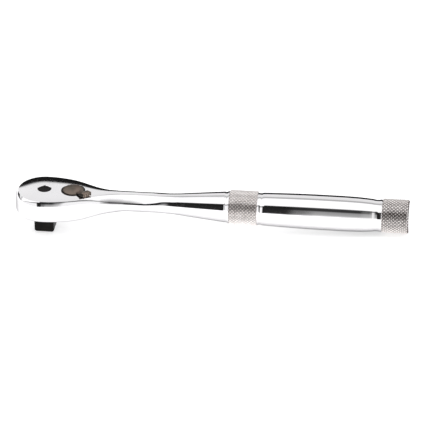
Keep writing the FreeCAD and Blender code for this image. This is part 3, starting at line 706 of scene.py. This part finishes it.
def spread(tree, source, low, high, start=0.3, end=0.7):
    """Map a signal between start and end onto a range of numbers, and hold it beyond."""
    node = tree.nodes.new("ShaderNodeMapRange")
    node.inputs["From Min"].default_value = start
    node.inputs["From Max"].default_value = end
    node.inputs["To Min"].default_value = low
    node.inputs["To Max"].default_value = high
    tree.links.new(source, node.inputs["Value"])
    return node.outputs["Result"]


def tint(tree, source, low, high, start=0.3, end=0.7):
    """Map a signal between start and end onto two colours, and hold them beyond."""
    ramp = tree.nodes.new("ShaderNodeValToRGB")
    ramp.color_ramp.elements[0].position = start
    ramp.color_ramp.elements[0].color = (*low, 1)
    ramp.color_ramp.elements[1].position = end
    ramp.color_ramp.elements[1].color = (*high, 1)
    tree.links.new(source, ramp.inputs["Fac"])
    return ramp.outputs["Color"]


def bump(tree, shader, source, strength, distance_mm):
    """Raise and lower the surface's shading with a signal."""
    node = tree.nodes.new("ShaderNodeBump")
    node.inputs["Strength"].default_value = strength
    node.inputs["Distance"].default_value = distance_mm * MM
    tree.links.new(source, node.inputs["Height"])
    tree.links.new(node.outputs["Normal"], shader.inputs["Normal"])


def metal(name, dark, light, rough, grain, stretch=(1, 1, 1), bump_mm=0.002, strength=0.3,
          metallic=1.0, specular=0.5):
    """Metal whose colour and gloss vary slightly over a grain of that many features per metre."""
    material, tree, shader = new_material(name)
    shader.inputs["Metallic"].default_value = metallic
    shader.inputs["Specular IOR Level"].default_value = specular
    grain_noise = object_noise(tree, grain, 4.0, stretch)
    cloud_noise = object_noise(tree, grain / 12, 2.0)
    tree.links.new(tint(tree, cloud_noise, dark, light), shader.inputs["Base Color"])
    tree.links.new(spread(tree, grain_noise, *rough), shader.inputs["Roughness"])
    bump(tree, shader, grain_noise, strength, bump_mm)
    return material


def lever_material():
    """Satin cast steel in a brownish tone on its upper faces and thumb face, with painted shade near black
    on its sides and on faces turned towards -X.
    """
    material, tree, shader = new_material("satin_steel")
    shader.inputs["Metallic"].default_value = 1.0
    grain = object_noise(tree, 1800, 4.0)
    cloud = object_noise(tree, 260, 3.0)
    satin_tone = tint(tree, cloud, (0.21, 0.185, 0.155), (0.33, 0.255, 0.215), 0.35, 0.65)
    position = tree.nodes.new("ShaderNodeTexCoord").outputs["Object"]
    height = object_part(tree, "Object", "Z")
    above_rim = spread(tree, height, 0.0, 1.0, 21.75 * MM, 21.95 * MM)
    above_edge = spread(tree, height, 0.0, 1.0, 21.75 * MM, 22.00 * MM)
    on_tab = spread(tree, height, 0.0, 1.0, 22.10 * MM, 22.40 * MM)
    facing_up = spread(tree, object_part(tree, "Normal", "Z"), 0.0, 1.0, 0.15, 0.75)
    turned_away = spread(tree, object_part(tree, "Normal", "X"), 0.0, 1.0, -0.45, -0.20)
    pivot = (LEVER_X * MM, 0.0, HEAD_TOP * MM)
    off_pivot = vector_maths(tree, "DISTANCE", position, pivot).outputs["Value"]
    far_out = spread(tree, off_pivot, 0.0, 1.0, 6.6 * MM, 7.4 * MM)
    # Painted shade: only the upper faces, the tab and the thumb face keep the steel's brownish tone; the
    # sides and faces turned towards -X are coloured near black.
    lit_top = maths(tree, "MULTIPLY", above_rim, facing_up)
    thumb_face = maths(tree, "MULTIPLY", far_out, above_edge)
    lit_faces = maths(tree, "MAXIMUM", maths(tree, "MAXIMUM", lit_top, on_tab), thumb_face)
    shown = maths(tree, "MULTIPLY", lit_faces, turned_away)
    tree.links.new(blend(tree, shown, (0.035, 0.030, 0.026), satin_tone), shader.inputs["Base Color"])
    tree.links.new(spread(tree, grain, 0.34, 0.52), shader.inputs["Roughness"])
    bump(tree, shader, grain, 0.5, 0.01)
    return material


def chrome_material():
    """Polished chrome, with painted shade: a darker colour and a darker edge reflection on faces turned
    down, most of all along the handle, and on the head's toe.
    """
    material, tree, shader = new_material("polished_chrome")
    shader.inputs["Metallic"].default_value = 1.0
    grain = object_noise(tree, 900, 4.0)
    cloud = object_noise(tree, 75, 2.0)
    facing_along = object_part(tree, "Normal", "X")
    facing_up = object_part(tree, "Normal", "Z")
    on_handle = spread(tree, object_part(tree, "Object", "X"), 0.0, 0.92, 80.0 * MM, 155.0 * MM)
    # Painted shade: faces turned down, most of all under the handle, and the head's toe, facing -X, are
    # coloured towards near black and lose their edge reflection, standing in for dark reflections.
    straight_down = spread(tree, facing_up, 1.0, 0.0, -0.83, -0.72)
    under_handle = maths(tree, "MULTIPLY", on_handle, straight_down)
    under = spread(tree, facing_up, 0.34, 0.0, -0.75, -0.20)
    toe = spread(tree, facing_along, 0.34, 0.0, -0.98, -0.72)
    painted_shade = maths(tree, "MAXIMUM", maths(tree, "MAXIMUM", under_handle, under), toe)
    chrome_tone = tint(tree, cloud, (0.91, 0.90, 0.915), (0.96, 0.95, 0.965))
    shaded_edge_tint = tint(tree, painted_shade, (1.0, 1.0, 1.0), (0.0, 0.0, 0.0), 0.0, 0.6)
    tree.links.new(blend(tree, painted_shade, chrome_tone, (0.02, 0.02, 0.022)), shader.inputs["Base Color"])
    tree.links.new(shaded_edge_tint, shader.inputs["Specular Tint"])
    tree.links.new(spread(tree, grain, 0.035, 0.07), shader.inputs["Roughness"])
    bump(tree, shader, grain, 0.12, 0.0006)
    return material


def knurl_material():
    """Plated knurling: bright diamonds with painted shade in the grooves, told apart by height off the
    axis.
    """
    material, tree, shader = new_material("knurled_chrome")
    shader.inputs["Metallic"].default_value = 1.0
    grain = object_noise(tree, 1500, 4.0)
    cloud = object_noise(tree, 420, 3.0)
    position = tree.nodes.new("ShaderNodeTexCoord").outputs["Object"]
    axis = (0.0, 0.0, HANDLE_AXIS * MM)
    from_axis = vector_maths(tree, "SUBTRACT", position, axis).outputs["Vector"]
    crosswise = vector_maths(tree, "MULTIPLY", from_axis, (0.0, 1.0, 1.0)).outputs["Vector"]
    off_axis = vector_maths(tree, "LENGTH", crosswise).outputs["Value"]
    # Painted shade: the grooves, nearer the axis than the crests, are coloured dark.
    crest = spread(tree, off_axis, 0.0, 1.0, GROOVE_LEVEL * MM, CREST_LEVEL * MM)
    painted_groove_shade = tint(tree, cloud, (0.10, 0.085, 0.08), (0.26, 0.23, 0.22))
    bright = tint(tree, cloud, (0.78, 0.73, 0.715), (0.96, 0.925, 0.91))
    tree.links.new(blend(tree, crest, painted_groove_shade, bright), shader.inputs["Base Color"])
    tree.links.new(spread(tree, grain, 0.20, 0.36), shader.inputs["Roughness"])
    bump(tree, shader, grain, 0.5, 0.02)
    return material


def make_materials():
    """Every finish of the wrench, by a short name."""
    return {
        "chrome": chrome_material(),
        "knurl": knurl_material(),
        "lever": lever_material(),
        "black": metal("black_oxide", (0.0035, 0.003, 0.0028), (0.010, 0.0085, 0.0075), (0.34, 0.55),
                       grain=1500, bump_mm=0.008, strength=0.5, metallic=0.3, specular=0.14),
        "button": metal("button_black", (0.004, 0.0032, 0.003), (0.010, 0.008, 0.0078), (0.25, 0.42),
                        grain=2200, bump_mm=0.004, strength=0.4, metallic=0.2, specular=0.16),
        "plate": metal("satin_plate", (0.60, 0.60, 0.61), (0.70, 0.70, 0.71), (0.16, 0.30),
                       grain=700, stretch=(0.12, 3.0, 1.0), bump_mm=0.003, strength=0.4),
        "screw": metal("screw_black", (0.03, 0.03, 0.032), (0.06, 0.058, 0.06), (0.28, 0.45),
                       grain=2500, bump_mm=0.006, strength=0.4, metallic=0.8),
        "steel": metal("ground_steel", (0.52, 0.52, 0.53), (0.64, 0.64, 0.65), (0.12, 0.26),
                       grain=2200, bump_mm=0.003, strength=0.3),
        "rubber": metal("seal_rubber", (0.015, 0.015, 0.015), (0.03, 0.03, 0.03), (0.55, 0.75),
                        grain=3000, bump_mm=0.01, strength=0.5, metallic=0.0),
    }


def paint(piece, material):
    """Give a piece one material all over."""
    piece.data.materials.clear()
    piece.data.materials.append(material)


# Finish of each CAD piece that is shown as it is.
NODE_FINISH = {
    "cover_plate": "plate",
    "cover_screw_1": "screw",
    "cover_screw_2": "screw",
    "cover_screw_3": "screw",
    "thrust_washer": "steel",
    "drive_seal_ring": "rubber",
    "drive_gear": "black",
    "release_pin": "steel",
    "retaining_ball": "steel",
    "lever_o_ring": "rubber",
    "lever_retaining_ring": "steel",
    "detent_ball": "steel",
    "detent_spring": "steel",
    "pawl": "black",
}


# ---------------------------------------------------------------- studio

def make_floor():
    """A pale, slightly sloping surface just under the square's end and the handle's end."""
    reach = 3.0
    gap = 0.3
    rest_point = HANDLE_END - 4.0
    slope = (HANDLE_AXIS - BAND_TWO[2]) / rest_point
    corners = ((-reach, -reach), (reach, -reach), (reach, reach), (-reach, reach))
    points = [(x, y, x * slope + (GEAR_BOTTOM - gap) * MM) for x, y in corners]
    mesh = bpy.data.meshes.new("floor")
    mesh.from_pydata(points, [], [(0, 1, 2, 3)])
    floor = bpy.data.objects.new("floor", mesh)
    bpy.context.scene.collection.objects.link(floor)
    material, tree, shader = new_material("pale_floor")
    shader.inputs["Roughness"].default_value = 0.9
    shader.inputs["Specular IOR Level"].default_value = 0.0
    shader.inputs["Emission Color"].default_value = (1, 1, 1, 1)
    shader.inputs["Emission Strength"].default_value = 0.62
    grain = object_noise(tree, 400, 3.0)
    pale = tint(tree, grain, (0.81, 0.81, 0.81), (0.83, 0.83, 0.83))
    tree.links.new(pale, shader.inputs["Base Color"])
    mesh.materials.append(material)


# Brightness of the studio by the angle over the set, in degrees, from the front horizon (0)
# over the top (90) to the back horizon (180). Every part of it has the same back.
STUDIO_BACK = [
    (106, 1.15), (111, 0.46), (119, 0.44), (124, 0.80), (138, 0.84), (151.9, 0.90), (153.2, 0.010),
    (178, 0.012),
]
STUDIO = [
    (0, 0.95), (4, 0.80), (10, 0.42), (29, 0.30), (34, 0.10), (36, 0.035), (50, 0.04), (52, 0.08),
    (57, 1.15),
] + STUDIO_BACK
STUDIO_DARK = [(0, 0.30), (3, 0.10), (8, 0.022), (50, 0.012), (52, 0.05), (56, 1.15)] + STUDIO_BACK
STUDIO_SIDES = [(0, 1.0), (44, 1.0), (47, 0.14), (51, 0.14), (55, 1.15)] + STUDIO_BACK
# How much of the side studio and of the dark studio shows, by the sideways part of the direction.
SIDE_SHARE = [(-1.0, 1.0), (-0.39, 1.0), (-0.335, 0.0), (0.05, 0.0), (0.20, 0.30), (0.30, 1.0), (1.0, 1.0)]
DARK_SHARE = [(-1.0, 1.0), (-0.125, 1.0), (-0.075, 0.0), (1.0, 0.0)]
# The front bands lean: past a sideways part of the direction they are met further down, by a
# share of the rest and up to a limit. The angles here are shares of half a turn.
LEAN_FROM = -0.152
LEAN_SHARE = 0.44
LEAN_LIMIT = 0.03
LEAN_ENDS = 0.58


def shade(tree, source, stops, low, high):
    """Read a signal through (place, brightness) stops, whose places run from low to high."""
    ramp = tree.nodes.new("ShaderNodeValToRGB")
    elements = ramp.color_ramp.elements
    elements.remove(elements[0])
    elements[0].position = (stops[0][0] - low) / (high - low)
    elements[0].color = (stops[0][1],) * 3 + (1,)
    for place, level in stops[1:]:
        stop = elements.new((place - low) / (high - low))
        stop.color = (level, level, level, 1)
    tree.links.new(source, ramp.inputs["Fac"])
    return ramp.outputs["Color"]


def make_studio():
    """Soft light from large panels, drawn as bands of brightness round the set."""
    world = bpy.data.worlds.new("studio")
    bpy.context.scene.world = world
    world.use_nodes = True
    tree = world.node_tree
    background = tree.nodes["Background"]
    direction = tree.nodes.new("ShaderNodeTexCoord")
    parts = tree.nodes.new("ShaderNodeSeparateXYZ")
    tree.links.new(direction.outputs["Generated"], parts.inputs[0])
    sideways = parts.outputs["X"]
    forward = maths(tree, "MULTIPLY", parts.outputs["Y"], -1.0)
    angle = maths(tree, "DIVIDE", maths(tree, "ARCTAN2", parts.outputs["Z"], forward), math.pi)
    aside = maths(tree, "SUBTRACT", LEAN_FROM, sideways)
    lean = maths(tree, "MAXIMUM", maths(tree, "MULTIPLY", aside, LEAN_SHARE), 0.0)
    lean = maths(tree, "MINIMUM", lean, LEAN_LIMIT)
    in_front = maths(tree, "LESS_THAN", angle, LEAN_ENDS)
    over = maths(tree, "ADD", angle, maths(tree, "MULTIPLY", lean, in_front))
    across = maths(tree, "ADD", maths(tree, "MULTIPLY", sideways, 0.5), 0.5)
    ahead = shade(tree, over, STUDIO, 0, 180)
    dark = shade(tree, over, STUDIO_DARK, 0, 180)
    sides = shade(tree, over, STUDIO_SIDES, 0, 180)
    middle = blend(tree, shade(tree, across, DARK_SHARE, -1, 1), ahead, dark)
    light = blend(tree, shade(tree, across, SIDE_SHARE, -1, 1), middle, sides)
    tree.links.new(light, background.inputs["Color"])


def make_camera():
    """The view from the lever side, in front and slightly towards the handle's end."""
    azimuth = math.radians(6.5)
    elevation = math.radians(29.5)
    distance = 1.503
    aim = Vector((0.08288, 0.0, 0.01219))
    back = Vector((
        math.sin(azimuth) * math.cos(elevation),
        -math.cos(azimuth) * math.cos(elevation),
        math.sin(elevation),
    ))
    camera = bpy.data.objects.new("camera", bpy.data.cameras.new("camera"))
    bpy.context.scene.collection.objects.link(camera)
    camera.data.sensor_width = 36.0
    camera.data.lens = 261.2
    camera.data.clip_start = 0.05
    camera.data.clip_end = 20.0
    camera.location = aim + back * distance
    camera.rotation_mode = "QUATERNION"
    camera.rotation_quaternion = (-back).to_track_quat("-Z", "Y")
    bpy.context.scene.camera = camera


# ---------------------------------------------------------------- assembly

def place_piece(piece, material, slot, body, *nodes):
    """Paint a piece, name the body it moves with, and hide the CAD nodes it stands for; the slot is not
    used.
    """
    paint(piece, material)
    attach(piece, body)
    if nodes:
        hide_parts(*nodes)


def main():
    """Finish the CAD pieces, add the modelled ones, and set the stage."""
    finish = make_materials()
    for node, name in NODE_FINISH.items():
        paint(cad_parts[node], finish[name])
    forging = cut_forging(make_forging())
    place_piece(forging, finish["chrome"], "chrome_forging", "wrench", "handle_body")
    front = make_knurl("knurl_front", BAND_ONE, 0.0)
    place_piece(front, finish["knurl"], "chrome_forging", "wrench")
    rear = make_knurl("knurl_rear", BAND_TWO, END_ROUND)
    place_piece(rear, finish["knurl"], "chrome_forging", "wrench")
    lever = make_lever()
    place_piece(lever, finish["lever"], "lever_steel", "lever", "reversing_lever")
    button = make_button()
    place_piece(button, finish["button"], "black_steel", "release", "release_button")
    low, high = span("release_spring")
    spring = make_spring(low.z, high.z)
    place_piece(spring, finish["steel"], "bright_steel", "drive", "release_spring")
    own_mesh(spring)
    make_floor()
    make_studio()
    make_camera()
    bpy.context.scene.view_settings.view_transform = "Standard"


main()
